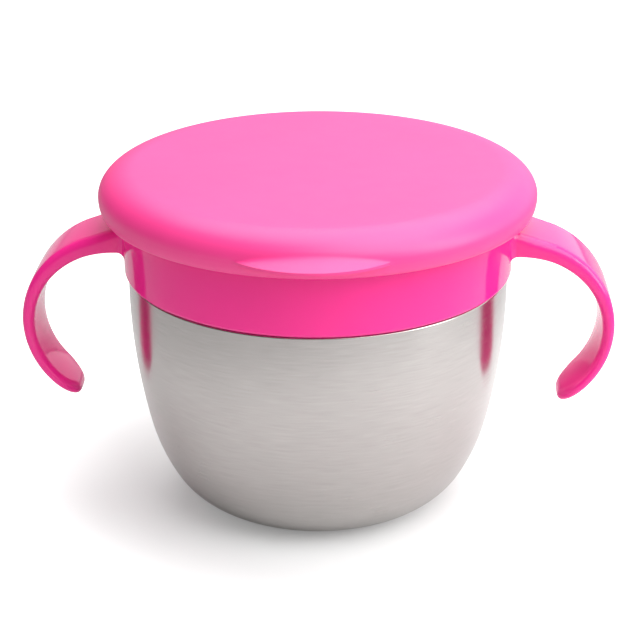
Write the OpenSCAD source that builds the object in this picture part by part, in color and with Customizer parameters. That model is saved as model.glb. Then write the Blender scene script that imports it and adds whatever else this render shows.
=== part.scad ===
// Toddler snack container: a drawn steel bowl, a plastic collar with two open handles,
// a soft slit membrane that a hand reaches through, and a press-on lid.
// Millimetres, +Z up. The origin is the centre of the base, on the surface it stands on.
// The handles point to +X and -X, and the lid's thumb tab points to -Y.

/* [Bowl] */
// Outer radius of the bowl where the collar's lower edge covers it
bowl_r = 45.2; // [37:0.1:56]
// Height of the collar's lower edge above the base
seam_z = 58.5; // [48:0.1:75]
// Thickness of the drawn steel
bowl_wall = 0.7; // [0.5:0.05:0.85]
// Radius of the lowest curve, from the flat foot to the flank
corner_r = 17.5; // [12:0.5:21]
// Slope at which the corner curve becomes the flank curve
corner_a = 60; // [50:1:65]
// Radius of the flank curve
flank_r = 45; // [30:1:54]
// Slope at which the flank curve becomes the side curve
flank_a = 76.5; // [72:0.5:80]
// Radius of the long, nearly upright side curve
side_r = 145; // [100:5:250]
// How far the neck is drawn in under the collar
neck_in = 1.8; // [1.5:0.1:2.2]
// Height of the rolled rim's top above the collar's lower edge
neck_h = 7.1; // [5.9:0.1:8.6]
// Radius of the open middle of the rim's curl
curl_hole = 0.15; // [0.1:0.05:0.3]
// Angle below level at which the curl's edge ends
curl_end_a = 60; // [20:5:70]
// Width of the flat ring that the bowl stands on
foot_w = 3.6; // [2:0.2:6]
// Height of the pressed-up middle of the base
base_rise = 1; // [0.8:0.1:1.2]

/* [Collar] */
// How far the collar stands out beyond the steel
collar_out = 0.9; // [0.8:0.1:1.2]
// Height of the collar
collar_h = 22.1; // [18.4:0.1:27]
// Thickness of the collar's wall
collar_wall = 2; // [1.7:0.1:2.4]
// Clearance between the collar and the rolled rim
rim_gap = 0.25; // [0.2:0.05:0.35]
// Width of the ledge that carries the membrane
ledge_w = 3.1; // [2.4:0.1:4]
// Thickness of the ledge
ledge_t = 1.4; // [1:0.1:2]
// Depth of the snap bead below the collar's top
bead_drop = 2.1; // [1.6:0.1:2.6]
// How far the snap bead stands out
bead_out = 0.25; // [0.2:0.05:0.3]

/* [Handles] */
// Width of a handle at the top of its bend, front to back
handle_w = 18.8; // [15.5:0.1:22.6]
// Slope of its two sides, which brings them closer together towards the tip
side_a = 3; // [0:0.5:5]
// Thickness of a handle at the top of its bend
handle_t = 4.4; // [3.6:0.1:5.3]
// Thickness of its flat tip
tip_t = 3.2; // [2.8:0.1:3.6]
// Radius of the handle's bend, to its outer face
handle_bend_r = 22.9; // [19:0.1:27.5]
// Distance of the bend's centre out from the collar
handle_off = 1.8; // [1:0.1:4]
// Depth of the bend's highest point below the collar's top
handle_top_drop = 12.3; // [9:0.1:13]
// Angle below level at which the bend runs out into the flat tip
tip_a = 43; // [30:1:50]
// Length of the flat tip
tip_l = 7.1; // [6.8:0.1:9]
// Corner radius of the tip, seen face on
tip_r = 6.6; // [5:0.1:6.7]
// Slope of the root, where the handle rises to the collar
root_a = 20; // [12:1:24]
// Radius on the edges of its outer face
edge_r = 1.2; // [0.8:0.1:1.4]
// Radius on the edges of its inner face
inner_edge_r = 1.5; // [0.8:0.1:1.6]
// Radius of the fillet under the root
root_fillet = 1.8; // [1:0.1:3]

/* [Membrane] */
// Thickness of the membrane's fixed ring
ring_t = 1.4; // [1:0.1:2]
// Thickness of a flap
flap_t = 1; // [0.8:0.1:1.4]
// Thickness of the seal lip over the steel rim
seal_t = 0.5; // [0.4:0.1:0.6]
// Thickness of the soft web round the ledge's inner edge
web_t = 1.2; // [0.8:0.1:1.6]
// Band left between the ends of the slits and the web
slit_margin = 5.7; // [3:0.1:9]
// Width of the slits
slit_w = 0.6; // [0.4:0.1:1]
// Radius of the relief hole at each end of a slit
slit_end_r = 1.5; // [1:0.1:2]
// Radius of the hole where the slits cross
cross_r = 1.6; // [1:0.1:3]

/* [Lid] */
// How far the lid overhangs the collar
lid_over = 5.4; // [4.6:0.1:7]
// Wall thickness of the lid
lid_wall = 1.8; // [1.5:0.1:2.1]
// Width of the rounding from the flat top to the widest edge
lid_round_w = 8.5; // [7:0.1:10]
// Height of that rounding
lid_round_h = 5.9; // [5:0.1:7.1]
// Height of the lower curve, from the widest edge to the lip
lid_lip_h = 3.3; // [2.7:0.1:4]
// How far the lower curve comes back in
lid_lip_in = 1.3; // [1:0.1:1.5]
// Clearance between the lid's skirt and the collar
lid_gap = 0.4; // [0.35:0.05:0.5]
// Depth of the skirt below the ring that rests on the collar
skirt_d = 4.4; // [3.6:0.1:5.3]
// Thickness of the skirt
skirt_t = 1.5; // [1.2:0.1:1.8]
// How far the resting ring stands down from the plate
rest_d = 0.7; // [0.6:0.1:1]
// Width of the thumb tab along the rim
tab_w = 35.4; // [29:0.1:43]
// How far the thumb tab stands out
tab_out = 4; // [3:0.1:5]
// Slope of the thumb tab's upper face
tab_a = 20; // [10:1:24]
// Thickness of the thumb tab at its edge
tab_t = 0.6; // [0.5:0.1:1]

/* [Hidden] */
$fn = 96;

// Clearance between pieces of different bodies that rest on each other
seat_gap = 0.3;
// Most that a curve's points may leave the true curve
chord_err = 0.01;
// Small overlap that joins or clears two shapes
eps = 0.01;
// How far a cutting shape runs on past the faces it cuts
over = 1;

// Bowl. Three tangent curves rise from the flat foot, each from one slope to the next.
// The last one ends upright, or earlier where the side is too short for that.
neck_dz = 0.5;
shoulder_z = seam_z - neck_dz;
corner_z = corner_r * (1 - cos(corner_a));
flank_z = corner_z + flank_r * (cos(corner_a) - cos(flank_a));
side_end_a = acos(max(0, cos(flank_a) - (shoulder_z - flank_z) / side_r));
corner_x = corner_r * sin(corner_a);
flank_x = flank_r * (sin(flank_a) - sin(corner_a));
side_x = side_r * (sin(side_end_a) - sin(flank_a));
foot_r = bowl_r - corner_x - flank_x - side_x;
neck_r = bowl_r - neck_in;
curl_r = bowl_wall + curl_hole;
rim_z = seam_z + neck_h;
curl_x = neck_r - bowl_wall + curl_r;
curl_z = rim_z - curl_r;

// Collar
collar_r = bowl_r + collar_out;
collar_top = seam_z + collar_h;
collar_in = collar_r - collar_wall;
lower_in = curl_x + curl_r + rim_gap;
mouth_gap = 0.35;
mouth_r = bowl_r + mouth_gap;
mouth_h = 1.4;
seal_z = rim_z + seat_gap;
ledge_z = seal_z + seal_t;
ledge_top = ledge_z + ledge_t;
ledge_r = collar_in - ledge_w;
lower_edge_r = 0.3;
top_edge_r = 0.6;
bead_z = collar_top - bead_drop;
bead_h = 0.8;

// Handles
bend_x = collar_r + handle_off;
bend_z = collar_top - handle_top_drop - handle_bend_r;
// The inner face bends about a centre nearer the tip, so that the handle gets thinner
taper_d = (handle_t - tip_t) / (1 + sin(tip_a));
inner_r = handle_bend_r - tip_t - taper_d;
inner_z = bend_z - taper_d * sin(tip_a);
root_sink = collar_wall / 2;
// Where the root starts inside the round wall
root_x = sqrt(pow(collar_in, 2) - pow(handle_w / 2, 2));

// Membrane
web_r = ledge_r - web_t;
seal_r = collar_in - seat_gap;
opening_d = (web_r - slit_margin) / sqrt(2);
hinge_d = opening_d - flap_t / 2 - seat_gap;
flap_top = ledge_top + ring_t;
flap_mid = flap_top - flap_t / 2;

// Lid
lid_r = collar_r + lid_over;
rest_z = collar_top + seat_gap;
plate_z = rest_z + rest_d;
lid_top = plate_z + lid_wall;
lid_mid = lid_top - lid_round_h;
lip_z = lid_mid - lid_lip_h;
lip_edge_r = 0.4;
skirt_r = collar_r + lid_gap;
skirt_bead_h = 1;
// The tab's outline is a circle that crosses the lid's edge at the ends of the tab
tab_sag = lid_r + tab_out - sqrt(pow(lid_r, 2) - pow(tab_w / 2, 2));
tab_r = (pow(tab_w / 2, 2) + pow(tab_sag, 2)) / (2 * tab_sag);
tab_reach = tab_out + lid_wall + 2 * over;
tab_corner = 0.2;

// Points on an arc about (x, z) with half axes rx and rz, from angle a0 to a1
function oval(x, z, rx, rz, a0, a1) =
    let (r = max(rx, rz), n = max(3, ceil(abs(a1 - a0) / (2 * acos(1 - chord_err / r)))))
    [for (i = [0:n]) let (a = a0 + (a1 - a0) * i / n) [x + rx * cos(a), z + rz * sin(a)]];
function arc(x, z, r, a0, a1) = oval(x, z, r, r, a0, a1);
function backwards(v) = [for (i = [len(v) - 1:-1:0]) v[i]];
// A low bead on an upright wall at radius r, standing out by d (inwards if d < 0)
function bead(r, z, h, d) =
    let (br = (h * h / 4 + d * d) / (2 * abs(d)), a = asin(h / 2 / br))
    d > 0 ? arc(r + d - br, z, br, -a, a) : arc(r + d + br, z, br, 180 - a, 180 + a);

// The steel's outer face from the foot to the shoulder, or that face set in by d
function bowl_side(d) = concat(
    arc(foot_r, corner_r, corner_r - d, -90, corner_a - 90),
    arc(foot_r + corner_x - flank_r * sin(corner_a), corner_z + flank_r * cos(corner_a),
        flank_r - d, corner_a - 90, flank_a - 90),
    arc(foot_r + corner_x + flank_x - side_r * sin(flank_a), flank_z + side_r * cos(flank_a),
        side_r - d, flank_a - 90, side_end_a - 90));

// The S-shaped step from the side to the neck: one round edge, one hollow one
function bowl_step(d) = concat(
    arc(bowl_r - neck_in / 2, shoulder_z, neck_in / 2 - d, 0, 90),
    arc(neck_r + neck_in / 2, shoulder_z + neck_in, neck_in / 2 + d, 270, 180));

// The pressed-up middle of the base, from the axis to the foot
function bowl_base(d) = concat(
    [[0, base_rise + d]],
    arc(foot_r - foot_w - base_rise, 0, base_rise + d, 90, asin(d / (base_rise + d))));

// One drawn shell with its rim rolled outwards
module steel_bowl()
{
    outside = concat(bowl_base(0), bowl_side(0), bowl_step(0));
    curl = concat(arc(curl_x, curl_z, curl_hole, 180, -curl_end_a),
                  arc(curl_x, curl_z, curl_r, -curl_end_a, 180));
    inside = concat(bowl_base(bowl_wall), bowl_side(bowl_wall), bowl_step(bowl_wall));
    color("silver")
        rotate_extrude()
            polygon(concat(outside, curl, backwards(inside)));
}

// Section of a flat bar, w wide and t thick, with its upper side on the X axis. The corners
// are rounded to r above and to low_r below.
module bar_section(w, t, r, low_r)
{
    translate([-w / 2, low_r - t])
        square([w, t - r - low_r]);
    translate([r - w / 2, -t / 2])
        square([w - 2 * r, t / 2]);
    translate([low_r - w / 2, -t])
        square([w - 2 * low_r, t / 2]);
    for (x = [-1, 1]) {
        translate([x * (w / 2 - r), -r])
            circle(r);
        if (low_r > 0)
            translate([x * (w / 2 - low_r), low_r - t])
                circle(low_r);
    }
}

// The right half of the tip's section, tip_r wide
module tip_half()
{
    intersection() {
        bar_section(2 * tip_r, tip_t, edge_r, inner_edge_r);
        translate([0, -tip_t])
            square([tip_r, tip_t]);
    }
}

// Flat tip, in the bend's frame: it starts at the origin with its outer face to +X, and
// runs along -Y
module handle_tip()
{
    straight_l = tip_l - tip_r;
    side_z = handle_w / 2 - tip_r;
    rotate([90, 0, 0])
        linear_extrude(straight_l)
            rotate(-90)
                bar_section(handle_w, tip_t, edge_r, inner_edge_r);
    for (s = [-1, 1])
        translate([0, -straight_l, s * side_z])
            rotate([0, 90, 0])
                rotate([0, 0, s > 0 ? 180 : 270])
                    rotate_extrude(angle = 90)
                        tip_half();
    translate([0, -straight_l, -side_z])
        linear_extrude(2 * side_z)
            rotate(-90)
                tip_half();
}

// Half ring that the handle's bend is a part of, in the bend's frame. Its outer face turns
// about the origin, and its inner face about a centre nearer the tip.
module handle_bend()
{
    depth = 2 * handle_t;
    intersection() {
        rotate_extrude(angle = 180)
            translate([handle_bend_r, 0])
                rotate(-90)
                    bar_section(handle_w, depth, edge_r, 0);
        translate([taper_d, 0, 0])
            rotate_extrude(angle = 180)
                translate([inner_r, 0])
                    rotate(90)
                        bar_section(handle_w, depth, inner_edge_r, 0);
    }
}

// One handle on the +X side with upright sides
module upright_handle()
{
    root_l = (bend_x + handle_bend_r * sin(root_a) - root_x) / cos(root_a);
    difference() {
        union() {
            translate([bend_x, 0, bend_z])
                rotate([90, 0, 0]) {
                    rotate([0, 0, -tip_a]) {
                        handle_bend();
                        translate([handle_bend_r, 0, 0])
                            handle_tip();
                    }
                    // straight root that leaves the bend and rises to the wall
                    rotate([0, 0, 90 - root_a])
                        translate([handle_bend_r, 0, 0])
                            rotate([-90, 0, 0])
                                linear_extrude(root_l)
                                    rotate(-90)
                                        bar_section(handle_w, tip_t, edge_r, 0);
                }
            fillet_under_root();
        }
        translate([0, 0, seam_z - handle_bend_r])
            cylinder(r = collar_r - root_sink, h = handle_bend_r + 2 * collar_h);
    }
}

// Hollow fillet between the collar's round wall and the handle's under side
module fillet_under_root()
{
    under_z = inner_z + inner_r;
    side = handle_w / 2 - inner_edge_r;
    intersection() {
        rotate_extrude()
            difference() {
                translate([collar_in, under_z - root_fillet])
                    square([collar_r + root_fillet - collar_in, root_fillet + tip_t / 2]);
                translate([collar_r + root_fillet, under_z - root_fillet])
                    circle(root_fillet);
            }
        translate([0, -side, 0])
            cube([bend_x + handle_bend_r, 2 * side, collar_top]);
    }
}

// The handle with its sides drawn together towards the tip, one half at a time
module handle()
{
    lean = tan(side_a);
    top_z = bend_z + handle_bend_r;
    for (s = [-1, 1])
        intersection() {
            multmatrix([[1, 0, 0, 0], [0, 1, s * lean, -s * lean * top_z], [0, 0, 1, 0]])
                upright_handle();
            translate([0, s > 0 ? 0 : -handle_w, 0])
                cube([bend_x + 2 * handle_bend_r, handle_w, collar_top]);
        }
}

// Plastic collar that grips the steel rim, moulded in one with both handles
module handle_collar()
{
    wall = concat(
        arc(collar_r - lower_edge_r, seam_z + lower_edge_r, lower_edge_r, -90, 0),
        bead(collar_r, bead_z, bead_h * 2, bead_out),
        arc(collar_r - top_edge_r, collar_top - top_edge_r, top_edge_r, 0, 90),
        arc(collar_in + top_edge_r, collar_top - top_edge_r, top_edge_r, 90, 180),
        [[collar_in, ledge_top], [ledge_r, ledge_top], [ledge_r, ledge_z],
         [lower_in, ledge_z], [lower_in, seam_z + mouth_h], [mouth_r, seam_z]]);
    color("deeppink") {
        rotate_extrude()
            polygon(wall);
        handle();
        mirror([1, 0, 0])
            handle();
    }
}

// Soft moulding that wraps the collar's ledge, seals on the steel rim and carries the flaps
module flap_ring()
{
    section = [
        [0, ledge_top], [web_r, ledge_top], [web_r, seal_z], [seal_r, seal_z],
        [seal_r, ledge_z], [ledge_r, ledge_z], [ledge_r, ledge_top],
        [collar_in, ledge_top], [collar_in, flap_top], [0, flap_top]];
    color("hotpink")
        difference() {
            rotate_extrude()
                polygon(section);
            translate([-opening_d, -opening_d, ledge_top - over])
                cube([2 * opening_d, 2 * opening_d, ring_t + 2 * over]);
            for (x = [-1, 1], y = [-1, 1])
                translate([x * opening_d, y * opening_d, ledge_top - over])
                    cylinder(r = slit_end_r, h = ring_t + 2 * over);
        }
}

// One flap, hinged along its outer edge: the front one, turned by a about the axis.
// Its round edge turns about the hinge line without touching the ring.
module flap(a)
{
    slit = slit_w / sqrt(2);
    half_l = hinge_d - slit - flap_t;
    side = [half_l, -half_l - slit];
    color("hotpink")
        rotate([0, 0, a]) {
            translate([0, 0, flap_mid - flap_t / 2])
                linear_extrude(flap_t)
                    difference() {
                        polygon([[-half_l, -hinge_d], [half_l, -hinge_d],
                                 side, [0, -slit], [-side[0], side[1]]]);
                        circle(cross_r);
                    }
            translate([-half_l, -hinge_d, flap_mid])
                rotate([0, 90, 0])
                    cylinder(d = flap_t, h = 2 * half_l);
        }
}

module flap_front() { flap(0); }
module flap_right() { flap(90); }
module flap_back() { flap(180); }
module flap_left() { flap(270); }

// Thumb tab: a thin disc with a sloping face, of which only the part outside the rim is left
module thumb_tab()
{
    in_r = tab_r - tab_reach;
    section = [
        [0, lid_mid - tab_t], [tab_r - tab_corner, lid_mid - tab_t],
        [tab_r, lid_mid - tab_t + tab_corner], [tab_r, lid_mid],
        [in_r, lid_mid + tab_reach * tan(tab_a)], [0, lid_mid + tab_reach * tan(tab_a)]];
    translate([0, tab_r - lid_r - tab_out, 0])
        rotate_extrude()
            polygon(section);
}

// Hollow lid: flat top, full round edge that turns back in under it, and a skirt
// that snaps over the collar's bead
module snap_lid()
{
    round_x = lid_r - lid_round_w;
    inner_x = lid_r - lid_wall;
    outside = concat(
        [[0, lip_z], [0, lid_top]],
        oval(round_x, lid_mid, lid_round_w, lid_round_h, 90, 0),
        oval(lid_r - lid_lip_in, lid_mid, lid_lip_in, lid_lip_h, 0, -90),
        arc(inner_x + lip_edge_r, lip_z + lip_edge_r, lip_edge_r, 270, 180));
    hollow = concat(
        [[0, lip_z - over], [0, plate_z]],
        oval(round_x, lid_mid, lid_round_w - lid_wall, lid_round_h - lid_wall, 90, 0),
        [[inner_x, lip_z - over]]);
    skirt = concat(
        [[skirt_r, rest_z], [round_x, rest_z], [round_x, plate_z + eps],
         [skirt_r + skirt_t, plate_z + eps], [skirt_r + skirt_t, rest_z - skirt_d]],
        bead(skirt_r, rest_z - skirt_d + skirt_bead_h, skirt_bead_h, -(lid_gap - bead_out) / 2));
    color("hotpink") {
        difference() {
            union() {
                rotate_extrude()
                    polygon(outside);
                thumb_tab();
            }
            rotate_extrude()
                polygon(hollow);
        }
        rotate_extrude()
            polygon(skirt);
    }
}

steel_bowl();
handle_collar();
flap_ring();
flap_front();
flap_right();
flap_back();
flap_left();
snap_lid();
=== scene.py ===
import math

import bpy
import bmesh
from mathutils import Vector, Matrix


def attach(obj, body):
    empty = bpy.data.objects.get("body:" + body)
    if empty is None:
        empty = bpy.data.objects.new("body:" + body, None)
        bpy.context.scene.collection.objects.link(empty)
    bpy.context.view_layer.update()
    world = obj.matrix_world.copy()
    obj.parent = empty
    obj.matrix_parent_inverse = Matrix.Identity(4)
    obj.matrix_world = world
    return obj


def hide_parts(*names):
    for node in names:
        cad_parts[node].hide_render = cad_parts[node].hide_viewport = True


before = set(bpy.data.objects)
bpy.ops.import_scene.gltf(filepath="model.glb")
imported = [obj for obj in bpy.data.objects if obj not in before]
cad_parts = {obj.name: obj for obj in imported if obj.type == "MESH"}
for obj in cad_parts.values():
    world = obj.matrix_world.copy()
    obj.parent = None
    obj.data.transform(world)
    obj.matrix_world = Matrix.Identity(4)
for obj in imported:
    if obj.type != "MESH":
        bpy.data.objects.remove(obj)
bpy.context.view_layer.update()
print("frame loaded:", len(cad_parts), "nodes")

mm = 0.001          # sizes are given in mm, and finished meshes are in metres
turn = 2 * math.pi
tiny = 0.0001       # a length below this counts as none
weld = 0.000002     # points nearer than this are merged, in metres


def sinOf(degrees):
    return math.sin(math.radians(degrees))


def cosOf(degrees):
    return math.cos(math.radians(degrees))


def between(ends, part):
    return ends[0] + (ends[1] - ends[0]) * part


shot = {
    "elevation": 22.64,                   # degrees above the table
    "azimuth": 2.4,                       # degrees towards the right handle
    "roll": -0.22,                        # degrees
    "distance": 450.0,                    # from the point looked at, in mm
    "lookAt": 43.92,                      # height of that point, in mm
    "sideways": 0.43,                     # its place to the right of the axis, in mm
    "lens": 104.34, "sensor": 36.0,
    "nearest": 0.01, "farthest": 20.0,    # what it sees, in metres
}


def addCamera(s):
    up, side, roll = s["elevation"], s["azimuth"], s["roll"]
    back = Vector((sinOf(side) * cosOf(up), -cosOf(side) * cosOf(up), sinOf(up)))
    right = Vector((cosOf(side), sinOf(side), 0))
    upward = back.cross(right)
    target = Vector((0, 0, s["lookAt"])) * mm + right * s["sideways"] * mm
    rightRolled = right * cosOf(roll) + upward * sinOf(roll)
    upRolled = upward * cosOf(roll) - right * sinOf(roll)
    turned = Matrix((rightRolled, upRolled, back)).transposed().to_4x4()
    data = bpy.data.cameras.new("camera")
    data.lens = s["lens"]
    data.sensor_width = s["sensor"]
    data.clip_start = s["nearest"]
    data.clip_end = s["farthest"]
    camera = bpy.data.objects.new("camera", data)
    camera.matrix_world = Matrix.Translation(target + back * s["distance"] * mm) @ turned
    bpy.context.scene.collection.objects.link(camera)
    bpy.context.scene.camera = camera


addCamera(shot)
bpy.context.scene.view_settings.view_transform = "Standard"
print("camera set")


def arcPoints(x, z, rx, rz, start, end, count):
    # points on an oval arc in the x-z plane, angles in degrees
    points = []
    for i in range(count + 1):
        a = math.radians(start + (end - start) * i / count)
        points.append((x + rx * math.cos(a), z + rz * math.sin(a)))
    return points


def beadPoints(radius, height, span, out, count):
    # low bead on an upright wall, from its lower end to its upper end; below 0 it stands inwards
    curve = (span * span / 4 + out * out) / (2 * abs(out))
    half = math.degrees(math.asin(span / 2 / curve))
    if out > 0:
        return arcPoints(radius + out - curve, height, curve, curve, -half, half, count)
    return arcPoints(radius + out + curve, height, curve, curve, 180 - half, 180 + half, count)


def spinProfile(points, steps, closed):
    # turns a profile in mm round the axis; open ends lie on the axis
    bm = bmesh.new()
    along = bm.verts.layers.float.new("along")        # metres along the profile, for the brush lines
    order = bm.verts.layers.float.new("order")        # the point's number, to find its row again
    verts = []
    length = 0.0
    for i, (x, z) in enumerate(points):
        v = bm.verts.new((x * mm, 0, z * mm))
        if i:
            length += (v.co - verts[-1].co).length
        v[along] = length
        v[order] = i
        verts.append(v)
    edges = [bm.edges.new(pair) for pair in zip(verts, verts[1:])]
    if closed:
        edges.append(bm.edges.new((verts[-1], verts[0])))
    bmesh.ops.spin(bm, geom=verts + edges, cent=(0, 0, 0), axis=(0, 0, 1), dvec=(0, 0, 0),
                   angle=turn, steps=steps, use_merge=True, use_duplicate=False)
    bmesh.ops.remove_doubles(bm, verts=bm.verts, dist=weld)
    bmesh.ops.recalc_face_normals(bm, faces=bm.faces)
    return bm


def rise(edge):
    return abs(edge.verts[0].co.z - edge.verts[1].co.z)


def bevelEdges(bm, edges, radius, steps):
    bmesh.ops.bevel(bm, geom=edges, offset=radius, offset_type="OFFSET", affect="EDGES",
                    segments=steps, profile=0.5, material=-1)


def combineShells(target, tool, operation):
    # joins one closed skin to another, or cuts it away
    objects = []
    for bm in (target, tool):
        mesh = bpy.data.meshes.new("shell")
        bm.to_mesh(mesh)
        bm.free()
        obj = bpy.data.objects.new("shell", mesh)
        bpy.context.scene.collection.objects.link(obj)
        objects.append(obj)
    modifier = objects[0].modifiers.new("combine", "BOOLEAN")
    modifier.operation = operation
    modifier.solver = "EXACT"
    modifier.object = objects[1]
    bpy.context.view_layer.update()
    evaluated = objects[0].evaluated_get(bpy.context.evaluated_depsgraph_get())
    combined = bmesh.new()
    combined.from_mesh(evaluated.to_mesh())
    for obj in objects:
        mesh = obj.data
        bpy.data.objects.remove(obj)
        bpy.data.meshes.remove(mesh)
    return combined


def finishPiece(name, bm, body, material, sharpAngle=32):
    mesh = bpy.data.meshes.new(name)
    bm.to_mesh(mesh)
    bm.free()
    mesh.polygons.foreach_set("use_smooth", [True] * len(mesh.polygons))
    mesh.set_sharp_from_angle(angle=math.radians(sharpAngle))
    mesh.materials.append(material)
    piece = bpy.data.objects.new(name, mesh)
    bpy.context.scene.collection.objects.link(piece)
    weighted = piece.modifiers.new("evenShading", "WEIGHTED_NORMAL")
    weighted.keep_sharp = True
    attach(piece, body)
    return piece


def groupSockets(tree, inputs, outputs):
    for name, kind, value in inputs:
        socket = tree.interface.new_socket(name=name, in_out="INPUT", socket_type=kind)
        socket.default_value = value
    for name, kind in outputs:
        tree.interface.new_socket(name=name, in_out="OUTPUT", socket_type=kind)
    return tree.nodes.new("NodeGroupInput"), tree.nodes.new("NodeGroupOutput")


def feed(tree, value, socket):
    # another node's output is linked, and a fixed value goes into the socket itself
    if isinstance(value, bpy.types.NodeSocket):
        tree.links.new(value, socket)
    else:
        socket.default_value = value


def noise(tree, vector, scale, detail, roughness=0.5):
    node = tree.nodes.new("ShaderNodeTexNoise")
    feed(tree, vector, node.inputs["Vector"])
    feed(tree, scale, node.inputs["Scale"])
    feed(tree, detail, node.inputs["Detail"])
    feed(tree, roughness, node.inputs["Roughness"])
    return node.outputs["Fac"]


def remap(tree, value, ends, results, way="LINEAR"):
    # stretches what lies between two ends to two results
    node = tree.nodes.new("ShaderNodeMapRange")
    node.interpolation_type = way
    for socket, number in zip(("From Min", "From Max", "To Min", "To Max"), (*ends, *results)):
        node.inputs[socket].default_value = number
    tree.links.new(value, node.inputs["Value"])
    return node.outputs["Result"]


noiseEnds = (0.3, 0.7)                    # most of a noise pattern's values lie between these


def spread(tree, value, low, high):
    return remap(tree, value, noiseEnds, (low, high))


def mathNode(tree, operation, a, b):
    node = tree.nodes.new("ShaderNodeMath")
    node.operation = operation
    feed(tree, a, node.inputs[0])
    feed(tree, b, node.inputs[1])
    return node.outputs["Value"]


def plus(tree, a, b):
    return mathNode(tree, "ADD", a, b)


def times(tree, a, b):
    return mathNode(tree, "MULTIPLY", a, b)


mixSockets = {"FLOAT": (2, 3, 0), "RGBA": (6, 7, 2)}      # numbers of the two inputs and the result


def mix(tree, kind, factor, first, second):
    node = tree.nodes.new("ShaderNodeMix")
    node.data_type = kind
    one, two, result = mixSockets[kind]
    tree.links.new(factor, node.inputs["Factor"])
    feed(tree, first, node.inputs[one])
    feed(tree, second, node.inputs[two])
    return node.outputs[result]


skinPattern = {
    "flow": (38.0, 3.0), "smear": (95.0, 4.0), "ripple": (260.0, 1.0),    # scale and detail of each
    "smearRoughness": 0.6, "grainDetail": 3.0,
}


def makeMouldedSkin(p):
    # moulded plastic or rubber: flow tint, fine mould grain and faint handling smears
    tree = bpy.data.node_groups.new("mouldedSkin", "ShaderNodeTree")
    inside, outside = groupSockets(
        tree,
        [("Color", "NodeSocketColor", (1, 1, 1, 1)), ("Deep Color", "NodeSocketColor", (1, 1, 1, 1)),
         ("Grain Size", "NodeSocketFloat", 3000.0), ("Grain", "NodeSocketFloat", 0.5),
         ("Ripple", "NodeSocketFloat", 0.2), ("Roughness", "NodeSocketFloat", 0.4),
         ("Smear", "NodeSocketFloat", 0.05)],
        [("Color", "NodeSocketColor"), ("Roughness", "NodeSocketFloat"),
         ("Height", "NodeSocketFloat")])
    coords = tree.nodes.new("ShaderNodeTexCoord").outputs["Object"]
    flow = spread(tree, noise(tree, coords, *p["flow"]), 0.0, 1.0)
    tint = mix(tree, "RGBA", flow, inside.outputs["Color"], inside.outputs["Deep Color"])
    smears = spread(tree, noise(tree, coords, *p["smear"], p["smearRoughness"]), -1.0, 1.0)
    rough = plus(tree, times(tree, smears, inside.outputs["Smear"]), inside.outputs["Roughness"])
    grain = noise(tree, coords, inside.outputs["Grain Size"], p["grainDetail"])
    ripple = noise(tree, coords, *p["ripple"])
    height = plus(tree, times(tree, grain, inside.outputs["Grain"]),
                  times(tree, ripple, inside.outputs["Ripple"]))
    tree.links.new(tint, outside.inputs["Color"])
    tree.links.new(rough, outside.inputs["Roughness"])
    tree.links.new(height, outside.inputs["Height"])
    return tree


mouldedSkin = makeMouldedSkin(skinPattern)


def newMaterial(name):
    material = bpy.data.materials.new(name)
    material.use_nodes = True
    tree = material.node_tree
    shader = tree.nodes["Principled BSDF"]
    return material, tree, shader


def addBump(tree, shader, height, look):
    bump = tree.nodes.new("ShaderNodeBump")
    bump.inputs["Strength"].default_value = look["bump"]
    bump.inputs["Distance"].default_value = look["bumpHeight"]
    tree.links.new(height, bump.inputs["Height"])
    tree.links.new(bump.outputs["Normal"], shader.inputs["Normal"])


def mouldedMaterial(name, look):
    material, tree, shader = newMaterial(name)
    skin = tree.nodes.new("ShaderNodeGroup")
    skin.node_tree = mouldedSkin
    skin.inputs["Color"].default_value = (*look["color"], 1)
    skin.inputs["Deep Color"].default_value = (*look["deepColor"], 1)
    for socket, setting in (("Grain Size", "grainSize"), ("Grain", "grain"), ("Ripple", "ripple"),
                            ("Roughness", "roughness"), ("Smear", "smear")):
        skin.inputs[socket].default_value = look[setting]
    tree.links.new(skin.outputs["Color"], shader.inputs["Base Color"])
    tree.links.new(skin.outputs["Roughness"], shader.inputs["Roughness"])
    addBump(tree, shader, skin.outputs["Height"], look)
    shader.inputs["IOR"].default_value = look["ior"]
    return material


lidLook = {
    "color": (1.0, 0.038, 0.290), "deepColor": (0.97, 0.033, 0.275),
    "grainSize": 2600.0, "grain": 0.5, "ripple": 0.1,
    "roughness": 0.43, "smear": 0.02, "bump": 0.10, "bumpHeight": 0.0001, "ior": 1.68,
}
collarLook = {
    "color": (1.0, 0.026, 0.305), "deepColor": (0.97, 0.022, 0.290),
    "grainSize": 1500.0, "grain": 0.12, "ripple": 0.5,
    "roughness": 0.10, "smear": 0.015, "bump": 0.03, "bumpHeight": 0.0001, "ior": 1.48,
}
rubberLook = {
    "color": (0.92, 0.075, 0.330), "deepColor": (0.87, 0.065, 0.300),
    "grainSize": 2200.0, "grain": 0.8, "ripple": 0.2,
    "roughness": 0.62, "smear": 0.05, "bump": 0.25, "bumpHeight": 0.0001, "ior": 1.45,
}
lidPlastic = mouldedMaterial("lidPlastic", lidLook)
collarPlastic = mouldedMaterial("collarPlastic", collarLook)
membraneRubber = mouldedMaterial("membraneRubber", rubberLook)

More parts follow.
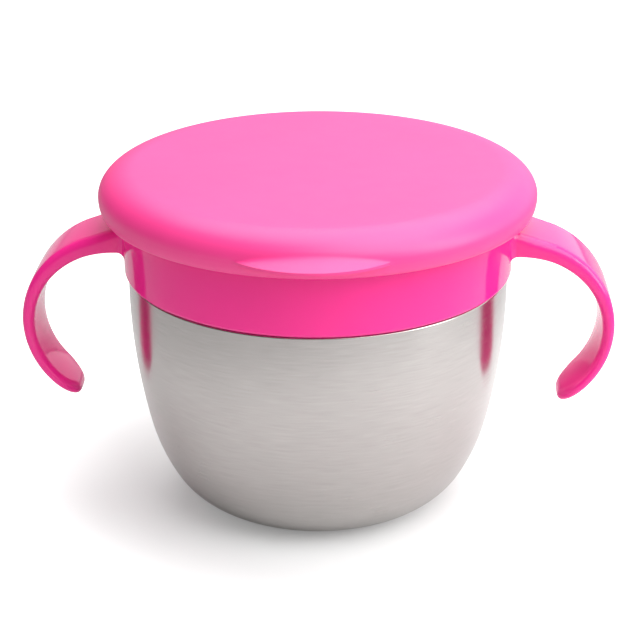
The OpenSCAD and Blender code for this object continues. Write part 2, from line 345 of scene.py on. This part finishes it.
steelLook = {
    "color": (0.548, 0.522, 0.508), "streakColor": (0.496, 0.471, 0.458),
    "colorSpread": (0.2, 0.8),            # how far the brush lines go between the two colours
    "lineLength": 7.0,                    # noise turns round the bowl, so lines are long
    "lineDensity": 4600.0,                # brush lines per metre up the wall
    "fine": (1.0, 1.0, 2.0), "coarse": (0.5, 0.2, 3.0),   # parts of that length and density, detail
    "strokes": (1.2, 0.625, 0.0), "scratches": 0.4,       # single marks, and how strong they are
    "fineShare": 0.65,                    # the coarse lines make up the rest
    "roughness": 0.21, "lineRoughness": 0.04,             # its middle, and what the lines change
    "clouds": (60.0, 3.0), "roughnessSpread": 0.04,       # scale and detail, and what they add
    "anisotropy": 0.8, "across": 0.25,    # the blur is a quarter turn from the brush lines
    "bump": 0.01, "bumpHeight": 0.00005,
}


def brushedSteelMaterial(look):
    material, tree, shader = newMaterial("brushedSteel")
    # the brush lines run round the bowl, so their pattern is read by direction and by the
    # distance up the wall
    coords = tree.nodes.new("ShaderNodeTexCoord").outputs["Object"]
    flat = tree.nodes.new("ShaderNodeVectorMath")
    flat.operation = "MULTIPLY"
    flat.inputs[1].default_value = (1, 1, 0)
    tree.links.new(coords, flat.inputs[0])
    around = tree.nodes.new("ShaderNodeVectorMath")
    around.operation = "NORMALIZE"
    tree.links.new(flat.outputs[0], around.inputs[0])
    split = tree.nodes.new("ShaderNodeSeparateXYZ")
    tree.links.new(around.outputs[0], split.inputs[0])
    wall = tree.nodes.new("ShaderNodeAttribute")
    wall.attribute_name = "along"

    def brushed(layer):
        lengthPart, densityPart, detail = look[layer]
        length, density = look["lineLength"] * lengthPart, look["lineDensity"] * densityPart
        join = tree.nodes.new("ShaderNodeCombineXYZ")
        tree.links.new(times(tree, split.outputs["X"], length), join.inputs["X"])
        tree.links.new(times(tree, split.outputs["Y"], length), join.inputs["Y"])
        tree.links.new(times(tree, wall.outputs["Fac"], density), join.inputs["Z"])
        return noise(tree, join.outputs[0], 1.0, detail)

    lines = plus(tree, times(tree, brushed("fine"), look["fineShare"]),
                 times(tree, brushed("coarse"), 1 - look["fineShare"]))
    # single short strokes that stand out from the even brushing, light and dark
    strokes = spread(tree, brushed("strokes"), -1.0, 1.0)
    strokes = times(tree, times(tree, strokes, strokes), strokes)
    shade = plus(tree, spread(tree, lines, *look["colorSpread"]),
                 times(tree, strokes, look["scratches"]))
    tint = mix(tree, "RGBA", shade, (*look["streakColor"], 1), (*look["color"], 1))
    tree.links.new(tint, shader.inputs["Base Color"])
    cloudy = spread(tree, noise(tree, coords, *look["clouds"]), 0.0, look["roughnessSpread"])
    lined = spread(tree, lines, look["roughness"] - look["lineRoughness"],
                   look["roughness"] + look["lineRoughness"])
    tree.links.new(plus(tree, cloudy, lined), shader.inputs["Roughness"])
    addBump(tree, shader, lines, look)
    tangent = tree.nodes.new("ShaderNodeTangent")
    tangent.direction_type = "RADIAL"
    tangent.axis = "Z"
    tree.links.new(tangent.outputs[0], shader.inputs["Tangent"])
    shader.inputs["Metallic"].default_value = 1.0
    shader.inputs["Anisotropic"].default_value = look["anisotropy"]
    shader.inputs["Anisotropic Rotation"].default_value = look["across"]
    return material


brushedSteel = brushedSteelMaterial(steelLook)
print("materials made")


bowl = {
    "radius": 45.2, "seam": 58.5, "wall": 0.7,
    "cornerRadius": 17.5, "cornerSlope": 60.0, "cornerSteps": 22,
    "flankRadius": 45.0, "flankSlope": 76.5, "flankSteps": 10,
    "sideRadius": 145.0, "sideSteps": 16,
    "shoulderDrop": 1.05, "shoulderEdge": 0.35, "tightestEdge": 0.05,
    "neckIn": 1.8, "neckHeight": 7.1,
    "curlHole": 0.15, "curlEnd": -60.0, "curlSteps": 16,  # the rolled rim stops short of the neck
    "footWidth": 3.6, "baseRise": 1.0, "bendSteps": 6, "steps": 224,
}


def makeBowl(b):
    # corner, flank and side are arcs that run into each other without a kink
    corner, cornerEnd, flank = b["cornerRadius"], b["cornerSlope"], b["flankRadius"]
    flankEnd, side = b["flankSlope"], b["sideRadius"]
    shoulder = b["seam"] - b["shoulderDrop"]
    cornerX, cornerZ = corner * sinOf(cornerEnd), corner * (1 - cosOf(cornerEnd))
    flankX = flank * (sinOf(flankEnd) - sinOf(cornerEnd))
    flankZ = cornerZ + flank * (cosOf(cornerEnd) - cosOf(flankEnd))
    sideEnd = math.degrees(math.acos(max(0, cosOf(flankEnd) - (shoulder - flankZ) / side)))
    footX = b["radius"] - cornerX - flankX - side * (sinOf(sideEnd) - sinOf(flankEnd))
    neck = b["radius"] - b["neckIn"]
    curl = b["wall"] + b["curlHole"]
    curlX, curlZ = neck - b["wall"] + curl, b["seam"] + b["neckHeight"] - curl
    half, bend = b["neckIn"] / 2, b["bendSteps"]

    def skin(d):
        # the drawn wall from the axis to the neck, set in by d
        height, innerFoot = b["baseRise"] + d, footX - b["footWidth"] - b["baseRise"]
        stop = math.degrees(math.asin(d / height))
        edge = max(b["shoulderEdge"] - d, b["tightestEdge"])
        points = [(0, height), (innerFoot / 2, height)]
        points += arcPoints(innerFoot, 0, height, height, 90, stop, bend)
        points += arcPoints(footX, corner, corner - d, corner - d, -90, cornerEnd - 90,
                            b["cornerSteps"])
        points += arcPoints(footX + cornerX - flank * sinOf(cornerEnd),
                            cornerZ + flank * cosOf(cornerEnd), flank - d, flank - d,
                            cornerEnd - 90, flankEnd - 90, b["flankSteps"])[1:]
        points += arcPoints(footX + cornerX + flankX - side * sinOf(flankEnd),
                            flankZ + side * cosOf(flankEnd), side - d, side - d,
                            flankEnd - 90, sideEnd - 90, b["sideSteps"])[1:]
        points += arcPoints(b["radius"] - d - edge, shoulder + half - d - edge, edge, edge,
                            0, 90, bend)
        points += arcPoints(neck + half, shoulder + b["neckIn"], half + d, half + d, 270, 180, bend)
        return points

    rim = arcPoints(curlX, curlZ, b["curlHole"], b["curlHole"], 180, b["curlEnd"],
                    b["curlSteps"] // 2)
    rim += arcPoints(curlX, curlZ, curl, curl, b["curlEnd"], 180, b["curlSteps"])
    profile = skin(0) + rim + skin(b["wall"])[::-1]
    bm = spinProfile(profile, b["steps"], False)
    return finishPiece("steelBowl", bm, "bowl", brushedSteel)


steelBowl = makeBowl(bowl)
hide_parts("steel_bowl")
print("bowl made")


collar = {
    "radius": 46.1, "seam": bowl["seam"], "top": 80.6, "wall": 2.0,
    "lowerEdge": 0.7, "lowerEdgeUp": 0.35, "lowerSteps": 9, "topEdge": 0.6, "topSteps": 6,
    "wallRows": (7.0, 14.0),              # rows of faces on the plain wall, up from the seam
    "beadDrop": 2.1, "beadSpan": 1.6, "beadOut": 0.25, "beadSteps": 8,
    "ledgeLow": 66.4, "ledgeTop": 67.8, "ledgeRadius": 41.0,
    "lip": 44.95, "lipUp": -0.03,         # set back under the rounded edge, in its shade
    "lowerInside": 44.65, "steps": 256,   # passes over the bowl's rolled rim
}


def collarRing(c):
    outer, inner = c["radius"], c["radius"] - c["wall"]
    low, top = c["lowerEdge"], c["topEdge"]
    mouth, edgeZ = c["seam"] + c["lipUp"], c["seam"] + c["lowerEdgeUp"]
    points = [(c["lip"], mouth), (c["lip"], edgeZ)]
    points += arcPoints(outer - low, edgeZ + low, low, low, -90, 0, c["lowerSteps"])
    points += [(outer, c["seam"] + up) for up in c["wallRows"]]
    points += beadPoints(outer, c["top"] - c["beadDrop"], c["beadSpan"], c["beadOut"],
                         c["beadSteps"])
    points += arcPoints(outer - top, c["top"] - top, top, top, 0, 90, c["topSteps"])
    points += arcPoints(inner + top, c["top"] - top, top, top, 90, 180, c["topSteps"])
    points += [(inner, c["ledgeTop"]), (c["ledgeRadius"], c["ledgeTop"]),
               (c["ledgeRadius"], c["ledgeLow"]), (c["lowerInside"], c["ledgeLow"]),
               (c["lowerInside"], mouth)]
    return spinProfile(points, c["steps"], True)


handle = {
    "width": 18.8, "lean": 3.0,           # at the top of the bend, and the slope of its sides
    "thickness": 4.4, "tipThickness": 3.2,
    "bendRadius": 22.88, "bendX": 47.9, "bendZ": 45.4, "bendSteps": 44,
    "rootSlope": 20.0, "rootSteps": 6,    # degrees that the outer face keeps rising to the collar
    "fillet": 1.7, "filletTurn": 84.0, "filletSteps": 10, "sink": 0.5,
    "tipAngle": 43.0, "tipLength": 6.3, "tipRadius": 6.3, "tipSteps": 16,
    "tipCrown": 0.8,                      # how far the middle of the tip stands out
    "blankEdge": 1.2, "edgeSteps": 7,
    "outerEdge": (1.9, 1.2), "innerEdge": (0.8, 2.0),     # at the root, at the tip
    "softFrom": 0.3, "softOver": 0.5,     # where along it the root's edges turn into the tip's
    "faceCrown": 0.1, "innerCrown": (0.05, 0.45), "sideCrown": (0.12, 0.35),
    "faceLines": (0, 0.3, 0.6), "sideLines": (-0.5, 0, 0.5),      # cuts along it, for its crowns
    "groove": 0.12, "grooveWidth": 0.17,  # fine line where the outer face meets the rolled edge
    "grooveAt": 0.8, "grooveReach": 0.6,  # its middle and how far it goes, in those widths
    "grooveEnd": 0.5,                     # part of the handle's length where it has faded out
}


def handleStations(h, c):
    # pairs of points on the outer and inner face, from inside the collar's wall to the tip,
    # each with how far it flares and how strongly it follows the round wall
    outerR, slope, tip = h["bendRadius"], math.radians(h["rootSlope"]), math.radians(h["tipAngle"])
    shift = (h["thickness"] - h["tipThickness"]) / (1 + math.sin(tip))
    innerR = outerR - h["tipThickness"] - shift
    innerX, innerZ = h["bendX"] + shift * math.cos(tip), h["bendZ"] - shift * math.sin(tip)
    leaveX = h["bendX"] + outerR * math.sin(slope)
    leaveZ = h["bendZ"] + outerR * math.cos(slope)

    def pair(xOuter, xInner):
        lower = innerZ + math.sqrt(innerR ** 2 - max(0, xInner - innerX) ** 2)
        return (xOuter, leaveZ + (leaveX - xOuter) * math.tan(slope)), (xInner, lower)

    fillet, wall = h["fillet"], c["radius"]
    stations = [(*pair(wall - h["sink"], wall - h["sink"]), fillet, 1.0)]
    for i in range(h["filletSteps"] + 1):             # round the hollow fillet at the wall
        a = math.radians(h["filletTurn"] * (1 - i / h["filletSteps"]))
        x = wall + fillet * (1 - math.sin(a))
        stations.append((*pair(x, x), fillet * (1 - math.cos(a)), 1.0))
    start, endInner = wall + fillet, innerX + innerR * math.sin(slope)
    for i in range(1, h["rootSteps"] + 1):            # from the fillet to the bend
        u = i / h["rootSteps"]
        ends = pair(between((start, leaveX), u), between((start, endInner), u))
        stations.append((*ends, 0.0, 1.0 - u))
    for i in range(1, h["bendSteps"] + 1):            # round the bend to the tip
        a = slope + (math.radians(90) + tip - slope) * i / h["bendSteps"]
        outer = (h["bendX"] + outerR * math.sin(a), h["bendZ"] + outerR * math.cos(a))
        inner = (innerX + innerR * math.sin(a), innerZ + innerR * math.cos(a))
        stations.append((outer, inner, 0.0, 0.0))
    return stations


def cutAcross(bm, place, direction):
    everything = list(bm.verts) + list(bm.edges) + list(bm.faces)
    bmesh.ops.bisect_plane(bm, geom=everything, dist=0.00001, plane_co=place, plane_no=direction)


def handleBlank(h, length, bendEnd):
    # flat bar with rounded end and edges; along the bend it is cut once for each station
    bm = bmesh.new()
    bmesh.ops.create_cube(bm, size=1.0)
    bmesh.ops.scale(bm, vec=(length, h["width"], h["thickness"]), verts=bm.verts)
    bmesh.ops.translate(bm, vec=(length / 2, 0, 0), verts=bm.verts)
    corners = [e for e in bm.edges
               if rise(e) > tiny and all(v.co.x > length - tiny for v in e.verts)]
    bevelEdges(bm, corners, h["tipRadius"], h["tipSteps"])
    rims = [e for e in bm.edges if rise(e) < tiny and not all(v.co.x < tiny for v in e.verts)]
    bevelEdges(bm, rims, h["blankEdge"], h["edgeSteps"])
    for i in range(1, bendEnd + 1):
        cutAcross(bm, (i, 0, 0), (1, 0, 0))
    side, flat = h["thickness"] / 2 - h["blankEdge"], h["width"] / 2 - h["blankEdge"]
    for part in h["sideLines"]:
        cutAcross(bm, (0, 0, side * part), (0, 0, 1))
    lines = [flat * part for part in h["faceLines"]]
    lines += [flat - h["grooveWidth"] * i for i in (2, 1)]
    for y in lines:
        cutAcross(bm, (0, y, 0), (0, 1, 0))
        if y:
            cutAcross(bm, (0, -y, 0), (0, 1, 0))
    return bm


def facesAt(stations, s):
    # the middle, the way out, the thickness, the flare and the pull to the wall, s stations along
    i = min(int(s + tiny), len(stations) - 2)
    a, b, part = stations[i], stations[i + 1], s - i
    outer, inner = Vector(a[0]).lerp(Vector(b[0]), part), Vector(a[1]).lerp(Vector(b[1]), part)
    flare, follow = between((a[2], b[2]), part), between((a[3], b[3]), part)
    return (outer + inner) / 2, (outer - inner).normalized(), (outer - inner).length, flare, follow


def levelAt(h, t, thick, outerEdge, innerEdge):
    # how high a point of the blank comes between the two faces, with each edge at its own radius
    halfT, edge = h["thickness"] / 2, h["blankEdge"]
    if t > halfT - edge:
        return thick / 2 - (halfT - t) * outerEdge / edge
    if t < edge - halfT:
        return -thick / 2 + (halfT + t) * innerEdge / edge
    up = (t + halfT - edge) / (2 * (halfT - edge))
    return between((innerEdge - thick / 2, thick / 2 - outerEdge), up)


def makeHandle(h, c):
    stations = handleStations(h, c)
    bendEnd = len(stations) - 1
    bm = handleBlank(h, bendEnd + h["tipLength"], bendEnd)
    halfW, edge, corner, fine = h["width"] / 2, h["blankEdge"], h["tipRadius"], h["grooveWidth"]
    top = h["bendZ"] + h["bendRadius"]
    lean = math.tan(math.radians(h["lean"]))
    outerEnd, innerEnd = Vector(stations[-1][0]), Vector(stations[-1][1])
    outwards = (outerEnd - innerEnd).normalized()
    onward = Vector((outwards.y, -outwards.x))
    atTip = ((outerEnd + innerEnd) / 2, outwards, h["tipThickness"], 0.0, 0.0)
    for v in bm.verts:
        s, y, t = v.co
        inBend = s < bendEnd + tiny
        part = min(s / bendEnd, 1.0)
        soft = min(1.0, max(0.0, (part - h["softFrom"]) / h["softOver"]))
        soft *= soft * (3 - 2 * soft)
        outerEdge, innerEdge = between(h["outerEdge"], soft), between(h["innerEdge"], soft)
        middle, across, thick, flare, follow = facesAt(stations, s) if inBend else atTip
        level = levelAt(h, t, thick, outerEdge, innerEdge)

        # how far it is in from the outline, which the round tip measures from its corner's centre
        wanted = outerEdge if t > 0 else innerEdge
        spanX = max(0, s - (bendEnd + h["tipLength"] - corner))
        spanY = max(0, abs(y) - (halfW - corner))
        reach = math.hypot(spanX, spanY)
        onSide = reach > corner - edge - tiny
        if onSide:
            inside = (corner - reach) * wanted / edge
            bulge = between(h["sideCrown"], soft) * (1 - (2 * level / thick) ** 2)
        else:
            inside = corner - reach * (corner - wanted) / (corner - edge)
            bulge = 0.0
        stretch = (corner - inside + bulge) / reach if reach > tiny else 1.0
        s += spanX * (stretch - 1)
        wide = abs(y) + spanY * (stretch - 1)

        # the faces are slightly crowned, and the outer one has the fine groove near its edges
        atOuter = level / thick + 0.5
        rim = min(1.0, wide / (halfW - wanted)) ** 2
        crown = rim * (h["faceCrown"] * atOuter - between(h["innerCrown"], soft) * (1 - atOuter))
        if t > 0 and not onSide:
            fade = min(1.0, max(0.0, 2 * (1 - part / h["grooveEnd"])))
            off = abs(inside - wanted - fine * h["grooveAt"])
            crown += h["groove"] * fade * max(0.0, 1 - off / (fine * h["grooveReach"]))
        level -= crown

        # the point takes its place on the bend, leans in and follows the round wall at the root
        y = math.copysign(wide * (1 + flare / halfW), y)
        place = middle + across * level * (1 + 2 * flare / thick)
        if not inBend:
            onTip = (s - bendEnd) / h["tipLength"]
            s += h["tipCrown"] * onTip * onTip * (1 - (wide / halfW) ** 2)
            place += onward * (s - bendEnd)
        y *= 1 - lean * (top - place.y) / halfW
        x = place.x
        if follow > 0 and x > abs(y):
            x -= follow * (x - math.sqrt(x * x - y * y))
        v.co = Vector((x, y, place.y)) * mm
    bmesh.ops.remove_doubles(bm, verts=bm.verts, dist=weld / 2)
    bmesh.ops.recalc_face_normals(bm, faces=bm.faces)
    return bm


def makeCollar(c, h):
    ring = collarRing(c)
    right = makeHandle(h, c)
    left = right.copy()
    bmesh.ops.scale(left, vec=(-1, 1, 1), verts=left.verts)
    bmesh.ops.reverse_faces(left, faces=left.faces)
    body = combineShells(combineShells(ring, right, "UNION"), left, "UNION")
    bmesh.ops.remove_doubles(body, verts=body.verts, dist=weld)
    return finishPiece("handledCollar", body, "collar", collarPlastic)


handledCollar = makeCollar(collar, handle)
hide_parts("handle_collar")
print("collar made:", len(handledCollar.data.polygons), "faces")


lid = {
    "radius": 51.5, "top": 83.4, "widest": 77.5, "wall": 1.8,
    "topRows": (0.45, 0.8),               # rows of faces on the flat top, as parts of its radius
    "roundWidth": 8.5, "roundHeight": 5.9, "roundSteps": 14,
    "fineFrom": 30.0, "fineTo": 2.0, "fineSteps": 18,     # degrees of the round edge, for the tab
    "lipHeight": 3.3, "lipIn": 1.3, "lipStart": 0.2, "lipSteps": 10,
    "lipEdge": 0.4, "lipEdgeSteps": 5,
    "plate": 81.6, "rest": 80.9,
    "skirtRadius": 46.5, "skirtThickness": 1.5, "skirtDepth": 4.4, "skirtEdge": 0.3,
    "beadUp": 1.0, "beadSpan": 1.0, "beadOut": -0.075, "beadSteps": 6,
    "edgeSteps": 4, "underSteps": 8,
    "tabWidth": 33.0, "tabOut": 4.0, "tabSlope": 20.0, "tabThickness": 0.6,
    "tabUnder": ((0.02, 0.0), (0.03, 0.12)),      # its two lowest rows: how far in, how far down
    "tabHollow": 1.6, "hollowRun": 1.5,   # the hollow is full where the tab stands out this far
    "tabInward": 1.0,                     # how far in from the round edge it can begin
    "turned": 1.0,                        # degrees off the front, as it was pressed on
    "sharpAngle": 40, "steps": 288,
}


def growTab(bm, d, lastRow):
    # the thumb tab grows out of the rounded edge: a sloping shelf with a hollow above it
    order = bm.verts.layers.float["order"]
    r, half = d["radius"], d["tabWidth"] / 2
    flatTop = r - d["roundWidth"]
    sag = r + d["tabOut"] - math.sqrt(r * r - half * half)
    tabRadius = (half * half + sag * sag) / (2 * sag)
    centre = r + d["tabOut"] - tabRadius
    slope = math.tan(math.radians(d["tabSlope"]))
    for v in bm.verts:
        x, y, z = v.co / mm
        radius = math.hypot(x, y)
        outside = y > 0 or abs(x) >= half or radius < flatTop - d["tabInward"]
        if outside or v[order] > lastRow:
            continue
        a = math.atan2(x, -y)
        reach = centre * math.cos(a) + math.sqrt(tabRadius ** 2 - (centre * math.sin(a)) ** 2)
        out = reach - r
        if out <= 0:
            continue
        if v[order] == lastRow:
            wanted = radius
        elif v[order] >= lastRow - len(d["tabUnder"]):
            wanted = radius + out
        else:
            shelf = r + out - (z - d["widest"]) / slope
            soft = d["tabHollow"] * min(1.0, out / d["hollowRun"])
            mixed = max(soft - abs(radius - shelf), 0) / max(soft, tiny)
            wanted = max(radius, shelf) + mixed * mixed * soft / 4
        grow = wanted / radius
        v.co.x *= grow
        v.co.y *= grow


def makeLid(d):
    r, mid, edge, steps = d["radius"], d["widest"], d["skirtEdge"], d["edgeSteps"]
    flatTop, innerX = r - d["roundWidth"], r - d["wall"]
    lip, under = mid - d["lipHeight"], mid - d["tabThickness"]
    across, up = d["roundWidth"], d["roundHeight"]
    outer = [(flatTop * part, d["top"]) for part in (0, *d["topRows"])]
    outer += arcPoints(flatTop, mid, across, up, 90, d["fineFrom"], d["roundSteps"])
    outer += arcPoints(flatTop, mid, across, up, d["fineFrom"], d["fineTo"], d["fineSteps"])[1:]
    outer += [(r, mid)] + [(r - inward, under - down) for inward, down in d["tabUnder"]]
    lastRow = len(outer) - 1
    start = math.degrees(math.asin((d["tabThickness"] + d["lipStart"]) / d["lipHeight"]))
    outer += arcPoints(r - d["lipIn"], mid, d["lipIn"], d["lipHeight"], -start, -90, d["lipSteps"])
    outer += arcPoints(innerX + d["lipEdge"], lip + d["lipEdge"], d["lipEdge"], d["lipEdge"],
                       270, 180, d["lipEdgeSteps"])[1:]
    skirtOuter, skirtLow = d["skirtRadius"] + d["skirtThickness"], d["rest"] - d["skirtDepth"]
    across, up = across - d["wall"], up - d["wall"]
    meet = math.degrees(math.acos((skirtOuter - flatTop) / across))
    inner = [(innerX, mid)]
    inner += arcPoints(flatTop, mid, across, up, 0, meet, d["underSteps"])[1:]
    inner += arcPoints(skirtOuter - edge, skirtLow + edge, edge, edge, 0, -90, steps)
    inner += arcPoints(d["skirtRadius"] + edge, skirtLow + edge, edge, edge, 270, 180, steps)
    inner += beadPoints(d["skirtRadius"], skirtLow + d["beadUp"], d["beadSpan"], d["beadOut"],
                        d["beadSteps"])
    inner += [(d["skirtRadius"], d["rest"]), (flatTop, d["rest"]), (flatTop, d["plate"]),
              (flatTop / 2, d["plate"]), (0, d["plate"])]
    bm = spinProfile(outer + inner, d["steps"], False)
    growTab(bm, d, lastRow)
    bmesh.ops.rotate(bm, cent=(0, 0, 0), verts=bm.verts,
                     matrix=Matrix.Rotation(math.radians(d["turned"]), 3, "Z"))
    return finishPiece("snapLid", bm, "lid", lidPlastic, d["sharpAngle"])


snapLid = makeLid(lid)
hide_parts("snap_lid")
print("lid made:", len(snapLid.data.polygons), "faces")


membrane = {
    "ledgeTop": collar["ledgeTop"], "ledgeLow": collar["ledgeLow"],
    "ledgeRadius": collar["ledgeRadius"], "collarInside": collar["radius"] - collar["wall"],
    "webRadius": 39.8, "webEdge": 0.4, "seal": 65.9, "sealRadius": 43.8, "sealEdge": 0.15,
    "top": 69.2, "steps": 192,
    "blankHole": 20.0, "opening": 24.112, "cutDepth": 10.0,       # the opening is cut from a disc
    "slitHole": 1.5, "slitHoleSteps": 6,
    "hinge": 23.312, "rootOut": 0.45,     # the flap's root goes a little past its hinge line
    "flapThickness": 1.0, "flapEdge": 0.3, "flapEdgeSteps": 4,
    "slit": 0.6, "crossHole": 1.6, "noseSide": 0.72, "noseBack": 0.1,     # round the cross's hole
}


def membraneDisc(m):
    web, webEdge, seal, sealEdge = m["webRadius"], m["webEdge"], m["seal"], m["sealEdge"]
    points = [(m["blankHole"], m["ledgeTop"]), (web - webEdge, m["ledgeTop"]),
              (web, m["ledgeTop"] - webEdge), (web, seal + sealEdge), (web + sealEdge, seal),
              (m["sealRadius"] - sealEdge, seal), (m["sealRadius"], seal + sealEdge),
              (m["sealRadius"], m["ledgeLow"]), (m["ledgeRadius"], m["ledgeLow"]),
              (m["ledgeRadius"], m["ledgeTop"]), (m["collarInside"], m["ledgeTop"]),
              (m["collarInside"], m["top"]), (m["blankHole"], m["top"])]
    return spinProfile(points, m["steps"], True)


def openingCutter(m):
    cutter = bmesh.new()
    wide = 2 * m["opening"] * mm
    bmesh.ops.create_cube(cutter, size=1.0)
    bmesh.ops.scale(cutter, vec=(wide, wide, m["cutDepth"] * mm), verts=cutter.verts)
    bmesh.ops.translate(cutter, vec=(0, 0, m["top"] * mm), verts=cutter.verts)
    upright = [e for e in cutter.edges if rise(e) > tiny]
    bevelEdges(cutter, upright, m["slitHole"] * mm, m["slitHoleSteps"])
    return cutter


def makeMembraneRing(m):
    bm = combineShells(membraneDisc(m), openingCutter(m), "DIFFERENCE")
    return finishPiece("membraneRing", bm, "collar", membraneRubber)


def makeFlap(m, side, quarter):
    # a flat flap between two slits, with its nose cut back round the hole of the cross
    slit = m["slit"] / math.sqrt(2)
    half = m["hinge"] - slit - m["flapThickness"]
    root, nose = -m["hinge"] - m["rootOut"], m["crossHole"] * m["noseSide"]
    outline = [(-half, root), (half, root), (half, -half - slit), (nose, -nose - slit),
               (0, -m["crossHole"] - m["noseBack"]), (-nose, -nose - slit), (-half, -half - slit)]
    low = (m["top"] - m["flapThickness"]) * mm
    bm = bmesh.new()
    face = bm.faces.new([bm.verts.new((x * mm, y * mm, low)) for x, y in outline])
    walls = bmesh.ops.extrude_face_region(bm, geom=[face])
    raised = [v for v in walls["geom"] if isinstance(v, bmesh.types.BMVert)]
    bmesh.ops.translate(bm, vec=(0, 0, m["flapThickness"] * mm), verts=raised)
    rims = [e for e in bm.edges if rise(e) < tiny]
    bevelEdges(bm, rims, m["flapEdge"] * mm, m["flapEdgeSteps"])
    bmesh.ops.rotate(bm, cent=(0, 0, 0), matrix=Matrix.Rotation(quarter * turn / 4, 3, "Z"),
                     verts=bm.verts)
    bmesh.ops.recalc_face_normals(bm, faces=bm.faces)
    return finishPiece(f"{side}Flap", bm, f"flap_{side}", membraneRubber)


membraneRing = makeMembraneRing(membrane)
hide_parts("flap_ring")
for quarter, side in enumerate(("front", "right", "back", "left")):
    flap = makeFlap(membrane, side, quarter)
    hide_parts(f"flap_{side}")
print("membrane made")


table = {
    "size": 3.0, "segments": 4, "roughness": 0.9,
    # the floor's colour holds painted light: lighter round a spot right of and in front of the
    # piece, painted shade beyond it
    "color": (0.80, 0.80, 0.80), "paintedShadeColor": (0.46, 0.46, 0.46), "paintedShadeFade": (0.08, 0.23),
    "paintedLightCentre": (0.045, -0.02, 0.0),   # centre of a painted pool of light, with painted shade further out, so the piece mirrors a darker left
    "lift": 0.19, "farLift": 0.85, "liftFade": (0.045, 0.105),    # to white, away from the piece
}


def tableMaterial(t):
    material, tree, shader = newMaterial("paleTable")
    coords = tree.nodes.new("ShaderNodeTexCoord").outputs["Object"]

    def outwards(centre, ends, results):
        away = tree.nodes.new("ShaderNodeVectorMath")
        away.operation = "DISTANCE"
        away.inputs[1].default_value = centre
        tree.links.new(coords, away.inputs[0])
        return remap(tree, away.outputs["Value"], ends, results, "SMOOTHSTEP")

    # painted shade: the floor's colour darkens away from the spot of painted light, and the steel
    # mirrors it
    fade = outwards(t["paintedLightCentre"], t["paintedShadeFade"], (0.0, 1.0))
    tint = mix(tree, "RGBA", fade, (*t["color"], 1), (*t["paintedShadeColor"], 1))
    tree.links.new(tint, shader.inputs["Base Color"])
    shader.inputs["Roughness"].default_value = t["roughness"]
    shader.inputs["Specular IOR Level"].default_value = 0.0
    # the camera also sees a soft light on it, which doesn't fall on the piece
    lift = outwards((0, 0, 0), t["liftFade"], (t["lift"], t["farLift"]))
    light = tree.nodes.new("ShaderNodeEmission")
    path = tree.nodes.new("ShaderNodeLightPath")
    tree.links.new(times(tree, path.outputs["Is Camera Ray"], lift), light.inputs["Strength"])
    both = tree.nodes.new("ShaderNodeAddShader")
    tree.links.new(shader.outputs[0], both.inputs[0])
    tree.links.new(light.outputs[0], both.inputs[1])
    tree.links.new(both.outputs[0], tree.nodes["Material Output"].inputs["Surface"])
    return material


def makeTable(t):
    bm = bmesh.new()
    bmesh.ops.create_grid(bm, x_segments=t["segments"], y_segments=t["segments"], size=t["size"])
    mesh = bpy.data.meshes.new("table")
    bm.to_mesh(mesh)
    bm.free()
    mesh.materials.append(tableMaterial(t))
    obj = bpy.data.objects.new("table", mesh)
    bpy.context.scene.collection.objects.link(obj)


makeTable(table)

lamps = {
    "key": {"place": (0.52, -0.34, 0.95), "size": 1.2, "power": 8.8},
    "top": {"place": (0.05, 0.40, 0.90), "size": 1.1, "power": 6.5},
    "side": {"place": (0.75, -0.25, 0.30), "size": 0.5, "power": 2.2},
}
lampTarget = (0, 0, 0.05)                 # about the middle of the piece


def addLamp(name, l):
    data = bpy.data.lights.new(name, "AREA")
    data.shape = "DISK"
    data.size = l["size"]
    data.energy = l["power"]
    lamp = bpy.data.objects.new(name, data)
    place = Vector(l["place"])
    aim = Vector(lampTarget) - place
    lamp.matrix_world = Matrix.Translation(place) @ aim.to_track_quat("-Z", "Y").to_matrix().to_4x4()
    bpy.context.scene.collection.objects.link(lamp)


for name, settings in lamps.items():
    addLamp(name, settings)

sky = {
    "color": (1.0, 1.0, 1.0), "seen": 1.0,
    "level": 0.60, "toRight": 0.14,       # light on the scene, and how much more from the right
    "mirror": 0.66, "mirrorToRight": 1.10, "mirrorToBack": 0.24,  # the same for what is mirrored
    "mirrorLeast": 0.05,
}


def makeSky(s):
    world = bpy.data.worlds.new("studio")
    bpy.context.scene.world = world
    world.use_nodes = True
    tree = world.node_tree
    back = tree.nodes["Background"]
    back.inputs["Color"].default_value = (*s["color"], 1)
    split = tree.nodes.new("ShaderNodeSeparateXYZ")
    tree.links.new(tree.nodes.new("ShaderNodeTexCoord").outputs["Generated"], split.inputs[0])
    toRight, toBack = split.outputs["X"], split.outputs["Y"]
    level = plus(tree, times(tree, toRight, s["toRight"]), s["level"])
    mirror = plus(tree, times(tree, toRight, s["mirrorToRight"]), s["mirror"])
    mirror = plus(tree, times(tree, toBack, s["mirrorToBack"]), mirror)
    mirror = mathNode(tree, "MAXIMUM", mirror, s["mirrorLeast"])
    path = tree.nodes.new("ShaderNodeLightPath")
    level = mix(tree, "FLOAT", path.outputs["Is Glossy Ray"], level, mirror)
    level = mix(tree, "FLOAT", path.outputs["Is Transmission Ray"], level, s["seen"])
    level = mix(tree, "FLOAT", path.outputs["Is Camera Ray"], level, s["seen"])
    tree.links.new(level, back.inputs["Strength"])


makeSky(sky)
print("stage lit")
